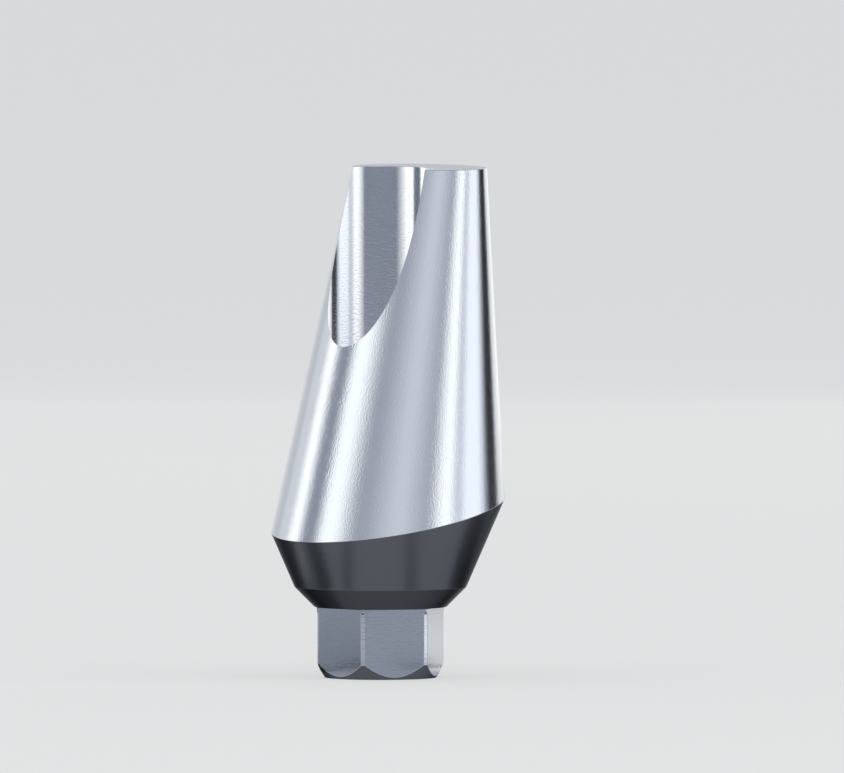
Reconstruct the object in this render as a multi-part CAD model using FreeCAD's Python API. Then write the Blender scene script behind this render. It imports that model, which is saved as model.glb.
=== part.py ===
"""An angled dental abutment: a tapered post that leans off the implant's axis, milled from one piece.

Lengths are in millimetres.
The origin lies on the implant's axis, at the foot of the seating bevel.
+Z points up the implant's axis, towards the crown, and the post leans towards +X.
"""
import FreeCAD, Part
import math
import os

Vector = FreeCAD.Vector

# Hexagon that keeps the abutment from turning in the implant
hex_across_flats = 2.42
hex_corner_diameter = 2.74
hex_length = 1.50
hex_end_diameter = 2.36
hex_chamfer_angle = 32.0
hex_corner_start = 0.11
hex_corner_step_angle = 30.0

# Bevel that seats on the implant, and the flared collar above it
bevel_foot_diameter = 2.80
bevel_angle = 45.0
bevel_height = 0.42
collar_flare_angle = 23.5

# Post: its section is an ellipse at every height, and its walls are straight between the two ends
post_base_height = 1.27
post_base_depth = 5.05
post_base_width = 5.12
post_base_shift = 0.21
post_top_height = 9.29
post_top_depth = 2.43
post_top_width = 3.25
post_top_shift = 1.16

# Passage for the retaining screw: a wide channel, a tapered seat and a clearance bore
channel_diameter = 2.22
seat_height = 0.90
seat_angle = 45.0
bore_diameter = 1.90
bore_mouth_break = 0.06

# Length by which a tool or a joined solid runs past the face that it meets
overrun = 0.20

# Greatest distance between the solid and the fine mesh that its volume is measured on
measuring_tolerance = 0.01


def post_section(height):
    """The post's ellipse at one height, with its start on the side that the post leans to."""
    share = (height - post_base_height) / (post_top_height - post_base_height)
    depth = post_base_depth + share * (post_top_depth - post_base_depth)
    width = post_base_width + share * (post_top_width - post_base_width)
    shift = post_base_shift + share * (post_top_shift - post_base_shift)
    unit_circle = Part.Edge(Part.Circle(Vector(0, 0, 0), Vector(0, 0, 1), 1.0))
    placing = FreeCAD.Matrix()
    placing.scale(depth / 2, width / 2, 1.0)
    placing.move(Vector(shift, 0, height))
    return Part.Wire([unit_circle.transformGeometry(placing)])


def turned(profile):
    """A solid turned about the implant's axis from points given as radius and height."""
    corners = [Vector(radius, 0, height) for radius, height in profile]
    face = Part.Face(Part.makePolygon(corners + corners[:1]))
    return face.revolve(Vector(0, 0, 0), Vector(0, 0, 1), 360)


def make_post():
    """The leaning post, carried down past the collar that trims it."""
    return Part.makeLoft([post_section(-overrun), post_section(post_top_height)], True, True)


def make_collar_envelope():
    """Seating bevel and flared collar, run on above the post so that it trims the post at the margin."""
    bevel_foot = bevel_foot_diameter / 2
    bevel_top = bevel_foot + bevel_height * math.tan(math.radians(bevel_angle))
    envelope_top = post_top_height + overrun
    flare = math.tan(math.radians(collar_flare_angle))
    envelope_radius = bevel_top + (envelope_top - bevel_height) * flare
    return turned([
        (0, 0),
        (bevel_foot, 0),
        (bevel_top, bevel_height),
        (envelope_radius, envelope_top),
        (0, envelope_top),
    ])


def make_hexagon():
    """The hexagon, with round corners and a chamfered end from its turned blank.

    Just under the bevel the blank steps out, so the corners stay sharp there for a short way.
    """
    corner_reach = hex_across_flats / math.sqrt(3)
    corners = []
    for turn in range(6):
        angle = math.radians(30 + 60 * turn)
        corners.append(Vector(corner_reach * math.cos(angle), corner_reach * math.sin(angle), -hex_length))
    prism = Part.Face(Part.makePolygon(corners + corners[:1])).extrude(Vector(0, 0, hex_length + overrun))

    corner_radius = hex_corner_diameter / 2
    end_radius = hex_end_diameter / 2
    chamfer_height = (corner_radius - end_radius) / math.tan(math.radians(hex_chamfer_angle))
    step_height = hex_corner_start + overrun
    step_radius = corner_radius + step_height * math.tan(math.radians(hex_corner_step_angle))
    blank = turned([
        (0, -hex_length),
        (end_radius, -hex_length),
        (corner_radius, -hex_length + chamfer_height),
        (corner_radius, -hex_corner_start),
        (step_radius, overrun),
        (0, overrun),
    ])
    return prism.common(blank)


def make_screw_passage():
    """Everything that the retaining screw needs, from the hexagon's end up through the top of the post."""
    bore_radius = bore_diameter / 2
    channel_radius = channel_diameter / 2
    seat_top = seat_height + (channel_radius - bore_radius) / math.tan(math.radians(seat_angle))
    return turned([
        (0, -hex_length - overrun),
        (bore_radius + bore_mouth_break + overrun, -hex_length - overrun),
        (bore_radius, -hex_length + bore_mouth_break),
        (bore_radius, seat_height),
        (channel_radius, seat_top),
        (channel_radius, post_top_height + overrun),
        (0, post_top_height + overrun),
    ])


def make_abutment():
    """The whole abutment as one solid."""
    body = make_post().common(make_collar_envelope())
    body = body.fuse(make_hexagon())
    body = body.cut(make_screw_passage())
    return body.removeSplitter()


def measured_volume(shape):
    """The volume inside a fine mesh of the shape, which is truer than a sum over the post's ruled wall."""
    points, triangles = shape.tessellate(measuring_tolerance)
    return sum(points[a].dot(points[b].cross(points[c])) for a, b, c in triangles) / 6


def main():
    os.makedirs("parts", exist_ok=True)
    abutment = make_abutment()
    abutment.exportStep("parts/abutment.step")
    box = abutment.optimalBoundingBox()
    print("valid", abutment.isValid(), "solids", len(abutment.Solids), "faces", len(abutment.Faces))
    print("volume", round(measured_volume(abutment), 2), "cubic mm")
    print("box", [round(value, 3) for value in (box.XMin, box.XMax, box.YMin, box.YMax, box.ZMin, box.ZMax)])
    print("centre of mass", [round(value, 3) for value in abutment.Solids[0].CenterOfMass])


main()
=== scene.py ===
# %% [markdown]
# # An angled dental abutment
# The real part is one piece of titanium alloy, turned and milled, and under eleven millimetres tall.
# Its hexagon and bevel sit in an implant, and its leaning post carries a crown.
# This lesson models the whole surface with fine facets, gives each face its finish, and lights it.
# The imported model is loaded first, because it says where the part is and how large it may be.

# %% Load the frame
import math

import bpy
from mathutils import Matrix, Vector


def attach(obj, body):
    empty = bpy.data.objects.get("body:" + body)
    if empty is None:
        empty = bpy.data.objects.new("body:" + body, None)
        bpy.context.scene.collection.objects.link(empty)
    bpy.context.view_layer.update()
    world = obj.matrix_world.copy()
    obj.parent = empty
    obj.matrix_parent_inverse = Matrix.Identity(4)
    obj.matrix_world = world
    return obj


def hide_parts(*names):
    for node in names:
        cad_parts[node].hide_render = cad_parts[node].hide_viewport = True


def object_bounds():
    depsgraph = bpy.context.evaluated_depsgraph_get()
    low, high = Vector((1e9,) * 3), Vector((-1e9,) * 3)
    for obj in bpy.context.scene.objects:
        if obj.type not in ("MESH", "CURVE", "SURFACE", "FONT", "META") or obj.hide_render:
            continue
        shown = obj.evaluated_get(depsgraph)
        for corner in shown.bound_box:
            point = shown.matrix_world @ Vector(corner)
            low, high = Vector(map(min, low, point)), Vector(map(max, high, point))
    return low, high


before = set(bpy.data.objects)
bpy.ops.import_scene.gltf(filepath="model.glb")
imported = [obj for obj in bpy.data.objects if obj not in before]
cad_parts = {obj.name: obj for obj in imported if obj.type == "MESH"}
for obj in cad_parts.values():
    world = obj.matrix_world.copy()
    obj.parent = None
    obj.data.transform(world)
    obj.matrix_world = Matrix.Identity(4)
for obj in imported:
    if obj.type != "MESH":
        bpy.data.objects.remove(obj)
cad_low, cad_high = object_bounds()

print("the packed model's nodes are", list(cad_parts))
print("it reaches from", [round(v, 5) for v in cad_low], "to", [round(v, 5) for v in cad_high])

# %% [markdown]
# ## Sizes
# Every size is the real one, in millimetres.
# The part is modelled with one unit to the millimetre, and made a thousand times smaller once, at the end.
# Blender's tools merge and clean up points by fixed small distances,
# which would swallow detail at the real size.

# %% Sizes of the hexagon, bevel and collar
MM = 0.001
ORIGIN = (0.0, 0.0, 0.0)

HEX_ACROSS_FLATS = 2.42
HEX_CORNER_DIAMETER = 2.74
HEX_LENGTH = 1.50
HEX_END_DIAMETER = 2.36
HEX_CHAMFER_ANGLE = 32.0
HEX_CORNER_START = 0.11
HEX_CORNER_STEP_ANGLE = 30.0

BEVEL_FOOT_DIAMETER = 2.80
BEVEL_ANGLE = 45.0
BEVEL_HEIGHT = 0.42
COLLAR_FLARE_ANGLE = 23.5

print("the hexagon is", HEX_ACROSS_FLATS, "mm across its flats")

# %% Sizes of the post and of the screw's passage
POST_BASE_HEIGHT = 1.27
POST_BASE_DEPTH = 5.05
POST_BASE_WIDTH = 5.12
POST_BASE_SHIFT = 0.21
POST_TOP_HEIGHT = 9.29
POST_TOP_DEPTH = 2.43
POST_TOP_WIDTH = 3.25
POST_TOP_SHIFT = 1.16

CHANNEL_DIAMETER = 2.22
SEAT_HEIGHT = 0.90
SEAT_ANGLE = 45.0
BORE_DIAMETER = 1.90
BORE_MOUTH_BREAK = 0.06

print("the post leans by", round(POST_TOP_SHIFT - POST_BASE_SHIFT, 2), "mm over its height")

# %% [markdown]
# A few more values belong to the way of working and not to the part.
# A tool runs a little past the face that it cuts, so that no two faces lie in one plane.
# A turned face gets many facets, because a mirror-like metal shows every corner in its reflections.
# The post has no rows of points below the clear height, where its slanting margin will be cut.
# Points nearer than the merging distance become one, and an edge counts as sharp from twelve degrees on.
# A broken edge has two narrow faces, so that it is a little round.

# %% Values for the work
OVERRUN = 0.20
FACETS = 240
ROW_SPACING = 0.15
CLEAR_HEIGHT = 2.60
MERGE_DISTANCE = 0.006
EDGE_BREAK = 0.012
EDGE_SEGMENTS = 2
SHARP_ANGLE = math.radians(12)

print("one facet of the post's base is", round(math.pi * POST_BASE_WIDTH / FACETS, 3), "mm wide")

# %% [markdown]
# ## Selecting
# Every operator acts on what is selected, so the selecting comes first.
# A wanted point, edge or face is found by a test on its place or normal, as a hand would pick it by eye.

# %% Helpers that select
def select_only(piece):
    """Selects one object and makes it the active one."""
    bpy.ops.object.select_all(action="DESELECT")
    piece.select_set(True)
    bpy.context.view_layer.objects.active = piece


def start_edit(piece, mode):
    """Opens a piece in edit mode with nothing selected, picking points, edges or faces from now on."""
    select_only(piece)
    bpy.ops.object.mode_set(mode="EDIT")
    bpy.ops.mesh.select_mode(type=mode)
    bpy.ops.mesh.select_all(action="DESELECT")


def leave_edit():
    """Goes back to object mode."""
    bpy.ops.object.mode_set(mode="OBJECT")


def select_faces(piece, wanted):
    """Leaves a piece in edit mode with the faces selected whose centre and normal pass the test."""
    start_edit(piece, "FACE")
    leave_edit()
    for face in piece.data.polygons:
        face.select = wanted(face.center, face.normal)
    bpy.ops.object.mode_set(mode="EDIT")


bpy.ops.object.select_all(action="DESELECT")
print("nothing is selected, and the work can start")

# %% [markdown]
# ## Shapes pulled up from a circle
# A turned shape, a blank for the hexagon and the post are all made in one way.
# A filled circle lies at the foot. Its face is extruded to the next height and scaled to the next size,
# as a potter pulls a wall up, and so on to the top.
# One function makes them all, from rings given as height, half depth, half width and shift off the axis.

# %% A function that pulls a shape up
def pulled_up(name, rings):
    """A closed solid through rings of (height, half depth, half width, shift), lowest first."""
    height, depth, width, shift = rings[0]
    bpy.ops.mesh.primitive_circle_add(vertices=FACETS, radius=1, fill_type="NGON", location=(0, 0, height))
    piece = bpy.context.object
    piece.name = name
    bpy.ops.object.transform_apply(location=True)
    start_edit(piece, "FACE")
    bpy.ops.mesh.select_all(action="SELECT")
    bpy.ops.transform.resize(value=(depth, width, 1), center_override=ORIGIN)
    bpy.ops.transform.translate(value=(shift, 0, 0))
    for next_height, next_depth, next_width, next_shift in rings[1:]:
        bpy.ops.mesh.extrude_region_move(TRANSFORM_OT_translate={"value": (0, 0, next_height - height)})
        grow = (next_depth / depth, next_width / width, 1)
        bpy.ops.transform.resize(value=grow, center_override=(shift, 0, 0))
        bpy.ops.transform.translate(value=(next_shift - shift, 0, 0))
        height, depth, width, shift = next_height, next_depth, next_width, next_shift
    bpy.ops.mesh.select_all(action="SELECT")
    bpy.ops.mesh.normals_make_consistent(inside=False)
    leave_edit()
    return piece


def turned(name, profile):
    """A shape turned about the implant's axis, from pairs of radius and height."""
    return pulled_up(name, [(height, radius, radius, 0.0) for radius, height in profile])


print("each ring has", FACETS, "points, one every", 360 / FACETS, "degrees")

# %% [markdown]
# ## The leaning post
# The post is a tapered stump that leans off the implant's axis.
# Its section is an ellipse at every height.
# It could be a scaled cylinder with two rings,
# but its wall twists slightly between its two unlike ellipses.
# Rows about 0.15 mm apart follow that wall, so that each small face has a true normal.

# %% The post
def post_ring(height):
    """The post's ellipse at one height."""
    share = (height - POST_BASE_HEIGHT) / (POST_TOP_HEIGHT - POST_BASE_HEIGHT)
    depth = POST_BASE_DEPTH + share * (POST_TOP_DEPTH - POST_BASE_DEPTH)
    width = POST_BASE_WIDTH + share * (POST_TOP_WIDTH - POST_BASE_WIDTH)
    shift = POST_BASE_SHIFT + share * (POST_TOP_SHIFT - POST_BASE_SHIFT)
    return height, depth / 2, width / 2, shift


row_count = round((POST_TOP_HEIGHT - CLEAR_HEIGHT) / ROW_SPACING)
row_step = (POST_TOP_HEIGHT - CLEAR_HEIGHT) / row_count
heights = [-OVERRUN] + [CLEAR_HEIGHT + row * row_step for row in range(row_count + 1)]
abutment = pulled_up("abutment_body", [post_ring(height) for height in heights])
print("the post has", len(abutment.data.polygons), "faces")

# %% [markdown]
# ## The collar that trims it
# Below its margin the real part flares up from a bevel that seats on the implant.
# The flared cone, run on far above the post, is laid over it, and only what lies in both is kept.
# That cut gives the slanting margin by itself:
# it dips where the post leans away and rises where it leans out.

# %% Trim the post with the collar
def join_by_boolean(piece, tool, operation):
    """Trims, joins or cuts a piece with a tool piece, which is used up."""
    select_only(piece)
    step = piece.modifiers.new(operation.lower(), "BOOLEAN")
    step.operation = operation
    step.object = tool
    step.solver = "EXACT"
    bpy.ops.object.modifier_apply(modifier=step.name)
    bpy.data.objects.remove(tool)


bevel_foot = BEVEL_FOOT_DIAMETER / 2
bevel_top = bevel_foot + BEVEL_HEIGHT * math.tan(math.radians(BEVEL_ANGLE))
envelope_top = POST_TOP_HEIGHT + OVERRUN
envelope_radius = bevel_top + (envelope_top - BEVEL_HEIGHT) * math.tan(math.radians(COLLAR_FLARE_ANGLE))
collar = turned("collar", [(bevel_foot, 0), (bevel_top, BEVEL_HEIGHT), (envelope_radius, envelope_top)])
join_by_boolean(abutment, collar, "INTERSECT")
print("post and collar together have", len(abutment.data.polygons), "faces")

# %% [markdown]
# ## The hexagon
# The hexagon keeps the part from turning in its implant.
# It is milled from a turned blank, which leaves its corners round and its end chamfered.
# So a six-sided prism is trimmed with that blank, and each flat gets its round foot from the cut.
# Close under the bevel the blank steps out, and there the corners stay sharp for a tenth of a millimetre.

# %% The hexagon
def make_hexagon():
    """The six-sided prism, trimmed by the turned blank that it is milled from."""
    corner_reach = HEX_ACROSS_FLATS / math.sqrt(3)
    bpy.ops.object.select_all(action="DESELECT")
    bpy.ops.mesh.primitive_cylinder_add(
        vertices=6, radius=corner_reach, depth=HEX_LENGTH + OVERRUN,
        location=(0, 0, (OVERRUN - HEX_LENGTH) / 2),
    )
    hexagon = bpy.context.object
    bpy.ops.object.transform_apply(location=True)
    corner_radius = HEX_CORNER_DIAMETER / 2
    end_radius = HEX_END_DIAMETER / 2
    chamfer_height = (corner_radius - end_radius) / math.tan(math.radians(HEX_CHAMFER_ANGLE))
    step_height = HEX_CORNER_START + 2 * OVERRUN
    step_radius = corner_radius + step_height * math.tan(math.radians(HEX_CORNER_STEP_ANGLE))
    blank = turned("blank", [
        (end_radius, -HEX_LENGTH),
        (corner_radius, chamfer_height - HEX_LENGTH),
        (corner_radius, -HEX_CORNER_START),
        (step_radius, 2 * OVERRUN),
    ])
    join_by_boolean(hexagon, blank, "INTERSECT")
    return hexagon


join_by_boolean(abutment, make_hexagon(), "UNION")
print("with the hexagon it has", len(abutment.data.polygons), "faces")

# %% [markdown]
# ## The screw's passage
# A retaining screw goes down through the whole part, so the passage is one more turned shape, taken away.
# From below it is a broken mouth, a bore for the screw's shank, a tapered seat for its head,
# and a wide channel.
# The channel follows the implant's axis while the post leans away from it.
# That is why it breaks out of the post's side in the long open notch.

# %% The screw's passage
bore_radius = BORE_DIAMETER / 2
channel_radius = CHANNEL_DIAMETER / 2
seat_top = SEAT_HEIGHT + (channel_radius - bore_radius) / math.tan(math.radians(SEAT_ANGLE))
passage = turned("passage", [
    (bore_radius + BORE_MOUTH_BREAK + OVERRUN, -HEX_LENGTH - OVERRUN),
    (bore_radius, BORE_MOUTH_BREAK - HEX_LENGTH),
    (bore_radius, SEAT_HEIGHT),
    (channel_radius, seat_top),
    (channel_radius, POST_TOP_HEIGHT + OVERRUN),
])
join_by_boolean(abutment, passage, "DIFFERENCE")
print("with the passage it has", len(abutment.data.polygons), "faces")

# %% [markdown]
# ## Clean up and shade
# The cuts leave some points almost on top of each other, and these are merged.
# Shading is then smooth wherever two faces meet at a small angle, and crisp at every real edge.

# %% Merge close points and shade
start_edit(abutment, "VERT")
bpy.ops.mesh.select_all(action="SELECT")
bpy.ops.mesh.remove_doubles(threshold=MERGE_DISTANCE)
leave_edit()
bpy.ops.object.shade_smooth_by_angle(angle=SHARP_ANGLE)
print("after merging it has", len(abutment.data.polygons), "faces")

# %% [markdown]
# ## Break the edges
# No milled edge is perfectly sharp.
# About a hundredth of a millimetre is taken off, and it catches a thin line of light.
# The rim of the notch is left out, because there the wall runs out thin and crisp.
# Hardened normals keep the broad faces beside each broken edge as flat or as round as they were.

# %% Break the edges
def on_notch_rim(place):
    """True for a point on the channel's wall above its seat."""
    off_the_wall = abs(math.hypot(place.x, place.y) - channel_radius)
    return off_the_wall < MERGE_DISTANCE and place.z > seat_top + OVERRUN


start_edit(abutment, "EDGE")
bpy.ops.mesh.edges_select_sharp(sharpness=SHARP_ANGLE)
leave_edit()
points = abutment.data.vertices
for edge in abutment.data.edges:
    if all(on_notch_rim(points[index].co) for index in edge.vertices):
        edge.select = False
broken = sum(edge.select for edge in abutment.data.edges)
bpy.ops.object.mode_set(mode="EDIT")
bpy.ops.mesh.bevel(
    offset=EDGE_BREAK, segments=EDGE_SEGMENTS, affect="EDGES", harden_normals=True, clamp_overlap=False
)
leave_edit()
print("broke", broken, "short edges, and the part has", len(abutment.data.polygons), "faces")

# %% [markdown]
# The part is finished as a shape, so it goes down to its real size, and its size is applied to its mesh.

# %% Down to real size
select_only(abutment)
bpy.ops.transform.resize(value=(MM, MM, MM), center_override=ORIGIN)
bpy.ops.object.transform_apply(location=True, rotation=True, scale=True)
print("the part measures", [round(side / MM, 3) for side in abutment.dimensions], "mm")

# %% [markdown]
# ## Helpers for finishes
# Colours are written as sRGB hex, as a colour picker shows them, and shaders want linear values.
# A material is a handful of nodes, so one small function adds a node, sets it and links it.

# %% Colour and node helpers
def linear(hex_colour):
    """A colour written as sRGB hex, turned to the linear values that shaders use."""
    values = [int(hex_colour[start:start + 2], 16) / 255 for start in (1, 3, 5)]
    return [v / 12.92 if v <= 0.04045 else ((v + 0.055) / 1.055) ** 2.4 for v in values] + [1.0]


def new_material(name):
    """A material with an empty node tree."""
    material = bpy.data.materials.new(name)
    material.use_nodes = True
    material.node_tree.nodes.clear()
    return material


def add_node(material, kind, settings=None, links=None):
    """Adds one node, sets its sockets or properties, and links sockets of other nodes to its inputs."""
    node = material.node_tree.nodes.new(kind)
    for name, value in (settings or {}).items():
        if name in node.inputs:
            node.inputs[name].default_value = value
        else:
            setattr(node, name, value)
    for name, source in (links or {}).items():
        material.node_tree.links.new(source, node.inputs[name])
    return node


print("a mid grey #808080 is", round(linear("#808080")[0], 3), "in linear light")

# %% [markdown]
# ## Milled titanium
# Titanium alloy is a fairly dark, slightly blue metal, so its mirror images are dimmer than those in steel.
# A milling cutter leaves it satin, with fine marks that run round the part.
# To the eye that means clear bands of reflected light whose borders break up into speckles.
# The marks are a noise a few hundredths of a millimetre across, used as a bump.
# Real marks are finer than that, but they are drawn as coarse as they need to be to show in the picture.
# The metal keeps the shader's own IOR, because a metal's colour already says how much it mirrors.

# %% A function for the metal's finishes
def titanium(name, colour, roughness, grain, side_blur=0.0, edge_tint="#FFFFFF"):
    """A finish of the alloy, with its grain's width, height and depth given in millimetres.

    Side blur, from 0 to 1, softens what it mirrors round the implant's axis more than up and down.
    """
    grain_width, grain_height, grain_depth = grain
    material = new_material(name)
    place = add_node(material, "ShaderNodeTexCoord")
    squeezed = add_node(
        material, "ShaderNodeMapping", {"Scale": (1, 1, grain_width / grain_height)},
        {"Vector": place.outputs["Object"]},
    )
    noise = add_node(
        material, "ShaderNodeTexNoise", {"Scale": 1 / (grain_width * MM), "Detail": 0.0},
        {"Vector": squeezed.outputs["Vector"]},
    )
    bump = add_node(
        material, "ShaderNodeBump", {"Strength": 1.0, "Distance": grain_depth * MM},
        {"Height": noise.outputs["Fac"]},
    )
    shader = add_node(
        material, "ShaderNodeBsdfPrincipled",
        {
            "Base Color": linear(colour), "Metallic": 1.0, "Roughness": roughness,
            "Specular Tint": linear(edge_tint), "Anisotropic": side_blur,
        },
        {"Normal": bump.outputs["Normal"]},
    )
    if side_blur:
        around = add_node(
            material, "ShaderNodeVectorMath", {"operation": "CROSS_PRODUCT"},
            {0: place.outputs["Object"]},
        )
        around.inputs[1].default_value = (0, 0, 1)
        material.node_tree.links.new(around.outputs["Vector"], shader.inputs["Tangent"])
    add_node(material, "ShaderNodeOutputMaterial", None, {"Surface": shader.outputs["BSDF"]})
    return material


example_width = 0.03
print("a grain", example_width, "mm wide takes a noise scale of", round(1 / (example_width * MM)))

# %% [markdown]
# Five finishes share that function.
# The post is milled, which the eye reads as bright bands with speckled borders.
# The channel is reamed, with fine marks that run round it and comb the borders of its bands.
# The hexagon's flats are a little duller with a coarser grain, so each one is a single soft tone, and their
# darker colour is painted shade.
# The collar and the hexagon's end are dark grey, and that colour is painted shade: the real part mirrors
# dark surroundings there, and the dark colour keeps them as dark over a pale floor.
# The bevel, which seals on the implant, is the darkest of all, and that colour is painted shade for the
# shaded floor that it mirrors.
# The dark two have a darker edge tint too, also painted shade, so that they don't flare up where they are
# seen at a low angle.
# What they mirror is softened sideways, and so their streaks run gently into each other.

# %% The five finishes
SIDE_BLUR = 0.6

# Name, colour, roughness, grain, and for the dark ones side blur and edge tint
milled = titanium("milled_titanium", "#ACAFBA", 0.14, (0.033, 0.028, 0.0027))
reamed = titanium("reamed_titanium", "#B2B5C0", 0.13, (0.080, 0.036, 0.0007))
# The hexagon's coarser grain is its own, and its darker colour is painted shade.
hexagon_grain_and_painted_shade = titanium("hexagon_grain_and_painted_shade_titanium", "#9BA2B0", 0.15, (0.120, 0.040, 0.0010))
# Dark grey with a darker edge tint, painted shade for the faces that look down.
downward_painted_shade = titanium("dark_downward_painted_shade_titanium", "#5F6269", 0.24, (0.090, 0.045, 0.0020), SIDE_BLUR, "#909090")
# The bevel's darkest colour is painted shade, for the shaded floor that it mirrors.
bevel_painted_shade = titanium("dark_bevel_painted_shade_titanium", "#4A4C52", 0.24, (0.090, 0.045, 0.0010), SIDE_BLUR, "#989898")
finishes = [milled, reamed, hexagon_grain_and_painted_shade, downward_painted_shade, bevel_painted_shade]
for finish in finishes:
    abutment.data.materials.append(finish)
print("finishes:", [finish.name for finish in finishes])

# %% [markdown]
# Each finish goes to the faces that a person would point at:
# inside the passage, on the hexagon's flats, looking down, and on the bevel.
# A face belongs to the passage if it lies within the channel's radius and looks at the axis.
# How far a normal points up or down, from 1 to -1, tells the other faces apart.
# The milled finish was added first, so every face has it until it is given another.

# %% Give each face its finish
DOWNWARD = -0.2
BEVEL_DOWNWARD = -0.6
UPRIGHT = 0.1
LEVEL = 0.9


def inside_passage(centre, normal):
    """True for a face of the channel, seat or bore."""
    close = math.hypot(centre.x, centre.y) < (channel_radius + MERGE_DISTANCE) * MM
    return close and centre.x * normal.x + centre.y * normal.y < 0 and abs(normal.z) < LEVEL


def on_hexagon_flat(centre, normal):
    """True for an upright face of the hexagon."""
    return centre.z < 0 and abs(normal.z) < UPRIGHT and not inside_passage(centre, normal)


def looking_down(centre, normal):
    """True for the collar, the bevel and the hexagon's end."""
    return normal.z < DOWNWARD and not inside_passage(centre, normal)


def on_bevel(centre, normal):
    """True for the bevel that seats on the implant."""
    return centre.z > 0 and normal.z < BEVEL_DOWNWARD and not inside_passage(centre, normal)


# The faces that look down, the bevel and the hexagon's flats get darker colours here, which are painted
# shade.
for finish, test in (
    (reamed, inside_passage),
    (hexagon_grain_and_painted_shade, on_hexagon_flat),
    (downward_painted_shade, looking_down),
    (bevel_painted_shade, on_bevel),
):
    slot = finishes.index(finish)
    select_faces(abutment, test)
    abutment.active_material_index = slot
    bpy.ops.object.material_slot_assign()
    leave_edit()
    count = sum(face.material_index == slot for face in abutment.data.polygons)
    print(finish.name, "covers", count, "faces")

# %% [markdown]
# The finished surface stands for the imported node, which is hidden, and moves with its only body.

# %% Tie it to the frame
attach(abutment, "root")
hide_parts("abutment")

# %% [markdown]
# The part doesn't mirror itself.
# In a narrow channel a ray would bounce from wall to wall and come back dark, and the bands would be lost.
# The photograph shows them clear and bright right down the channel, as one bounce gives them.
# An object can be hidden from glossy rays alone, and it keeps its shadow and everything else.

# %% Leave the part out of its own reflections
abutment.visible_glossy = False
print("glossy rays see the part:", abutment.visible_glossy)

# %% [markdown]
# ## Camera
# The photograph has no perspective, so the camera is orthographic.
# It looks almost level, from a place turned round to the side on which the notch is open.
# Its scale comes from the hexagon: its flats are 2.42 mm apart, and that is 114 pixels in the photograph.

# %% Camera
PHOTO_WIDTH = 844
PHOTO_HEIGHT = 773
HEX_PIXELS = 114.2
AXIS_PIXEL = 380.47
FOOT_PIXEL = 606.6
VIEW_TURN = math.radians(-44.4)
VIEW_RISE = math.radians(2.8)
CAMERA_DISTANCE = 80 * MM

pixel = HEX_ACROSS_FLATS / HEX_PIXELS * MM
right = Vector((math.cos(VIEW_TURN), math.sin(VIEW_TURN), 0))
away = Vector((-math.sin(VIEW_TURN), math.cos(VIEW_TURN), 0))
upright = Vector((0, 0, 1))
forward = away * math.cos(VIEW_RISE) - upright * math.sin(VIEW_RISE)
up = away * math.sin(VIEW_RISE) + upright * math.cos(VIEW_RISE)

camera_data = bpy.data.cameras.new("camera")
camera_data.type = "ORTHO"
camera_data.ortho_scale = PHOTO_WIDTH * pixel
camera_data.clip_start = MM
camera = bpy.data.objects.new("camera", camera_data)
bpy.context.scene.collection.objects.link(camera)
pixels_right = PHOTO_WIDTH / 2 - AXIS_PIXEL
pixels_up = FOOT_PIXEL - PHOTO_HEIGHT / 2
middle_of_photo = right * pixels_right * pixel + up * pixels_up * pixel
camera.location = middle_of_photo - forward * CAMERA_DISTANCE
camera.rotation_euler = forward.to_track_quat("-Z", "Y").to_euler()
bpy.context.scene.camera = camera
print("the picture is", round(camera_data.ortho_scale / MM, 2), "mm wide")

# %% [markdown]
# ## Floor
# The floor is a wide pale sheet, and at this low angle it is also the whole background.
# About two thirds of what the camera and the metal see of it is an even glow of its own colour,
# so it stays evenly pale. The rest is its lit paint, which keeps the part's shadow.

# %% Floor
FLOOR_SIZE = 4.0
FLOOR_COLOUR = "#E8E8E8"
GLOW_SHARE = 0.65

bpy.ops.object.select_all(action="DESELECT")
bpy.ops.mesh.primitive_plane_add(size=FLOOR_SIZE, location=(0, 0, cad_low.z))
floor = bpy.context.object
floor.name = "floor"

pale = new_material("pale_floor")
ray = add_node(pale, "ShaderNodeLightPath")
by_camera_or_metal = add_node(
    pale, "ShaderNodeMath", {"operation": "ADD"},
    {0: ray.outputs["Is Camera Ray"], 1: ray.outputs["Is Glossy Ray"]},
)
seen = add_node(
    pale, "ShaderNodeMath", {"operation": "ADD"},
    {0: by_camera_or_metal.outputs[0], 1: ray.outputs["Is Transmission Ray"]},
)
share = add_node(pale, "ShaderNodeMath", {"operation": "MULTIPLY"}, {0: seen.outputs[0]})
share.inputs[1].default_value = GLOW_SHARE
paint = add_node(pale, "ShaderNodeBsdfDiffuse", {"Color": linear(FLOOR_COLOUR)})
glow = add_node(pale, "ShaderNodeEmission", {"Color": linear(FLOOR_COLOUR)})
mixed = add_node(
    pale, "ShaderNodeMixShader", None,
    {0: share.outputs[0], 1: paint.outputs["BSDF"], 2: glow.outputs["Emission"]},
)
add_node(pale, "ShaderNodeOutputMaterial", None, {"Surface": mixed.outputs["Shader"]})
floor.data.materials.append(pale)
print("the floor lies at", round(cad_low.z / MM, 3), "mm")

# %% [markdown]
# ## Light
# Metal shows nothing but its surroundings, so the surroundings are laid out to give the photograph's bands.
# The sky is a soft bluish grey. Tall softboxes stand in a ring round the part, twelve centimetres away.
# Each one is placed by the angle at which the part sees it, counted from the camera's side, right positive.
# A face mirrors the light at twice the angle of its own normal,
# which is how each band was given its softbox.
# A lamp adds its brightness to what lies behind it,
# so a soft border is made of a few lamps, each a bit wider.
# Lamps in exactly the same place count only once, so each of these stands a millimetre behind the last.

# %% Sky
SKY = (0.57, 0.60, 0.65, 1.0)

world = bpy.data.worlds.new("studio")
world.use_nodes = True
world.node_tree.nodes["Background"].inputs["Color"].default_value = SKY
bpy.context.scene.world = world
print("the sky's brightness is", SKY[:3])

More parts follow.
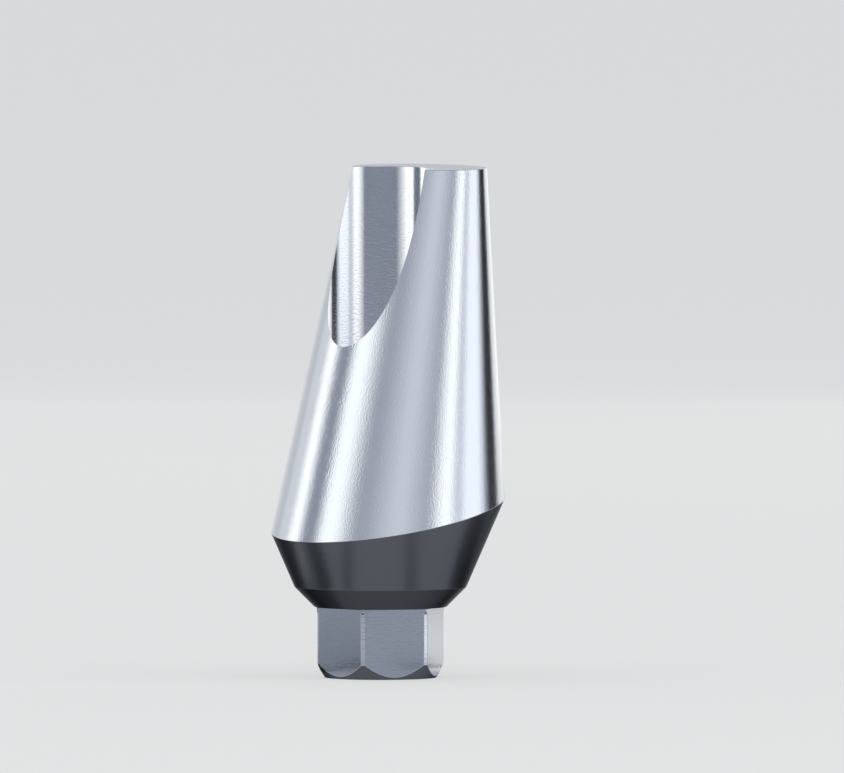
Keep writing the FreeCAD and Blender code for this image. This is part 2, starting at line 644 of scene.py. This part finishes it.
# %% Helpers for softboxes
WARM = (0.97, 0.98, 0.84)
NEUTRAL = (0.97, 1.0, 0.92)
LAMP_DISTANCE = 120 * MM
LAMP_TOP = 90 * MM
FRONT_LAMP_FOOT = 18 * MM
FRONT_LAMP_TOP = 130 * MM
FADE_STEPS = 3
FADE_SPACING = 1 * MM


def direction(angle):
    """The level direction at an angle round the part, counted in degrees from the camera's side."""
    return right * math.sin(math.radians(angle)) - away * math.cos(math.radians(angle))


def panel_place(from_angle, to_angle, low, high, distance=LAMP_DISTANCE):
    """Where an upright panel stands, how it is turned, and how wide and tall it is."""
    toward = direction((from_angle + to_angle) / 2)
    place = toward * distance + upright * (cad_low.z + (low + high) / 2)
    width = 2 * distance * math.tan(math.radians((to_angle - from_angle) / 2))
    return place, toward.to_track_quat("Z", "Y").to_euler(), width, high - low


def area_lamp(name, place, turn, width, height, brightness, colour):
    """A flat lamp that adds its brightness to what lies behind it."""
    lamp_data = bpy.data.lights.new(name, "AREA")
    lamp_data.shape = "RECTANGLE"
    lamp_data.size = width
    lamp_data.size_y = height
    lamp_data.color = colour
    lamp_data.energy = brightness * math.pi * width * height
    lamp = bpy.data.objects.new(name, lamp_data)
    bpy.context.scene.collection.objects.link(lamp)
    lamp.location = place
    lamp.rotation_euler = turn
    lamp.visible_camera = False


def softbox(name, core, fades, brightness, colour=WARM, low=0.0, high=LAMP_TOP):
    """Overlapping lamps, full between the core's two angles and fading over some degrees at each side."""
    steps = FADE_STEPS if any(fades) else 1
    for step in range(steps):
        reach = step / max(steps - 1, 1)
        from_angle = core[0] - fades[0] * reach
        to_angle = core[1] + fades[1] * reach
        distance = LAMP_DISTANCE + step * FADE_SPACING
        place, turn, width, height = panel_place(from_angle, to_angle, low, high, distance)
        area_lamp(f"{name}_{step}", place, turn, width, height, brightness / steps, colour)
    print(name, "covers", core[1] - core[0], "degrees at full brightness")


print("the softboxes stand", round(LAMP_DISTANCE / MM), "mm from the implant's axis")

# %% The ring of softboxes
# Name, the core's two angles, the fades at its two sides in degrees, brightness, colour, foot and top
softbox("lamp_left_front", (-78, -56), (1, 14), 1.80)
softbox("lamp_left_back", (-117, -102), (3, 3), 1.90)
softbox("lamp_back_left", (-172, -121), (0, 0), 0.38)
softbox("lamp_far_left", (-135, -121), (3, 0), 0.40)
softbox("lamp_front", (-40, 40), (5, 5), 0.20, NEUTRAL, FRONT_LAMP_FOOT, FRONT_LAMP_TOP)
softbox("lamp_front_middle", (-4, 14), (20, 18), 0.55, NEUTRAL, FRONT_LAMP_FOOT, FRONT_LAMP_TOP)
softbox("lamp_right_front", (48, 62), (10, 1), 1.85)
softbox("lamp_right_gap", (62, 77), (0, 0), 0.75, NEUTRAL)
softbox("lamp_right", (77, 102), (2, 8), 1.55, NEUTRAL)
softbox("lamp_back_right", (138, 172), (0, 0), 0.80)
softbox("lamp_back", (172, 188), (0, 0), 0.10, NEUTRAL)

# %% [markdown]
# ## Dark cards
# Dark cards do as much as lamps.
# A black one behind on the right draws the dark line along the post's right edge.
# Low grey ones, in front and on the left, give the channel its grey middle and its grey strip at the right.
# The channel looks along the floor and sees them, and the post looks higher up and doesn't.
# None of them is seen by the camera, in this view or from any other side.

# %% Dark cards
LOW_CARD = 8 * MM


def hidden_sheet(name, place, turn, width, height, colour, brightness=0.0):
    """A flat sheet that the camera doesn't see, matt or glowing by itself."""
    bpy.ops.object.select_all(action="DESELECT")
    bpy.ops.mesh.primitive_plane_add(size=1, location=place, rotation=turn)
    sheet = bpy.context.object
    sheet.name = name
    sheet.scale = (width, height, 1)
    sheet.visible_camera = False
    material = new_material(name)
    if brightness:
        glow = add_node(material, "ShaderNodeEmission", {"Color": linear(colour), "Strength": brightness})
        surface = glow.outputs["Emission"]
    else:
        paint = add_node(material, "ShaderNodeBsdfDiffuse", {"Color": linear(colour)})
        surface = paint.outputs["BSDF"]
    add_node(material, "ShaderNodeOutputMaterial", None, {"Surface": surface})
    sheet.data.materials.append(material)
    return sheet


def card(name, from_angle, to_angle, top, colour):
    """A matt card that stands on the floor where a lamp could, and gives no light."""
    place, turn, width, height = panel_place(from_angle, to_angle, 0.0, top)
    hidden_sheet(name, place, turn, width, height, colour)
    print(name, "is", round(width / MM), "mm wide")


card("black_card", 113, 136, LAMP_TOP, "#484848")
card("grey_card_front", -37, 38, LOW_CARD, "#B2BAC4")
card("grey_card_left", -98, -81, LOW_CARD, "#8C95A2")

# %% [markdown]
# ## Sheets on the floor
# The collar and the bevel look down, and the camera sees the hexagon's upright flats from a little above.
# So all of them mirror the floor close by and nothing else.
# Their darker and lighter streaks therefore come from sheets laid flat on the floor,
# as a photographer lays them.
# A mirrored ray was followed from each streak to the floor, and that is where its sheet lies.
# Only the metal sees them: they are hidden from the camera, cast no shadow and light nothing.
# Each sheet lies a hundredth of a millimetre above the last, so that no two lie in one plane.
# A sheet close to the part lies in its shadow, so the white, pale and dim ones glow by themselves.

# %% A function for sheets on the floor
PAPER_STEP = 0.01 * MM
WHITE = "#FFFAF2"
DIM = "#949494"
papers = []


def paper(name, place, size, turn, colour, brightness=0.0):
    """A sheet on the floor that only the metal sees, placed in millimetres to the right and the front."""
    to_right, to_front = place
    papers.append(name)
    spot = right * to_right * MM - away * to_front * MM + upright * (cad_low.z + len(papers) * PAPER_STEP)
    flat_turn = (0, 0, VIEW_TURN + math.radians(turn))
    sheet = hidden_sheet(name, spot, flat_turn, size[0] * MM, size[1] * MM, colour, brightness)
    sheet.visible_diffuse = False
    sheet.visible_shadow = False
    print(name, "lies", round(math.hypot(*place), 1), "mm from the implant's axis")


print("each sheet lies", round(PAPER_STEP / MM, 3), "mm above the last")

# %% Sheets for the hexagon's flats
# Name, place to the right and the front, width and depth, turn in degrees, colour, and the glow's strength
paper("white_paper_back", (10.2, -14.6), (29.2, 5), 58.8, WHITE, 1.30)
paper("white_paper_right", (21, 0.9), (26, 7), 0, WHITE, 2.4)
paper("pale_paper_front", (-9.2, 16.0), (25, 4), 59, WHITE, 1.2)
paper("grey_paper_left", (-18.5, 0.55), (30, 2.4), 0, "#D0D0D0")

# %% Sheets for the collar
paper("dark_paper_left", (-5.2, 1.65), (3.8, 1.5), 10, "#747474")
paper("dark_paper_back_left", (-6.8, -4.4), (4.2, 5.6), 0, "#7C7C7C")
paper("dark_paper_right", (6.6, -2.8), (4.4, 5.2), 0, "#787878")
paper("grey_paper_front_left", (-2.55, 3.9), (0.8, 2.8), -16, "#B4B4B4")
paper("grey_paper_front_right", (2.35, 3.9), (0.9, 2.8), 14, "#C0C0C0")
paper("white_paper_left", (-6.1, -0.7), (2.2, 1.4), 10, WHITE, 1.2)

# %% Sheets for the bevel
paper("dim_paper_under_left", (-2.4, -0.6), (1.6, 2.8), 24, DIM, 1.0)
paper("dim_paper_under_right", (2.75, -1.7), (1.0, 1.4), 0, DIM, 1.0)

# %% [markdown]
# ## The end
# Colours are shown as they are, with no film look.

# %% Show colours as they are
bpy.context.scene.view_settings.view_transform = "Standard"
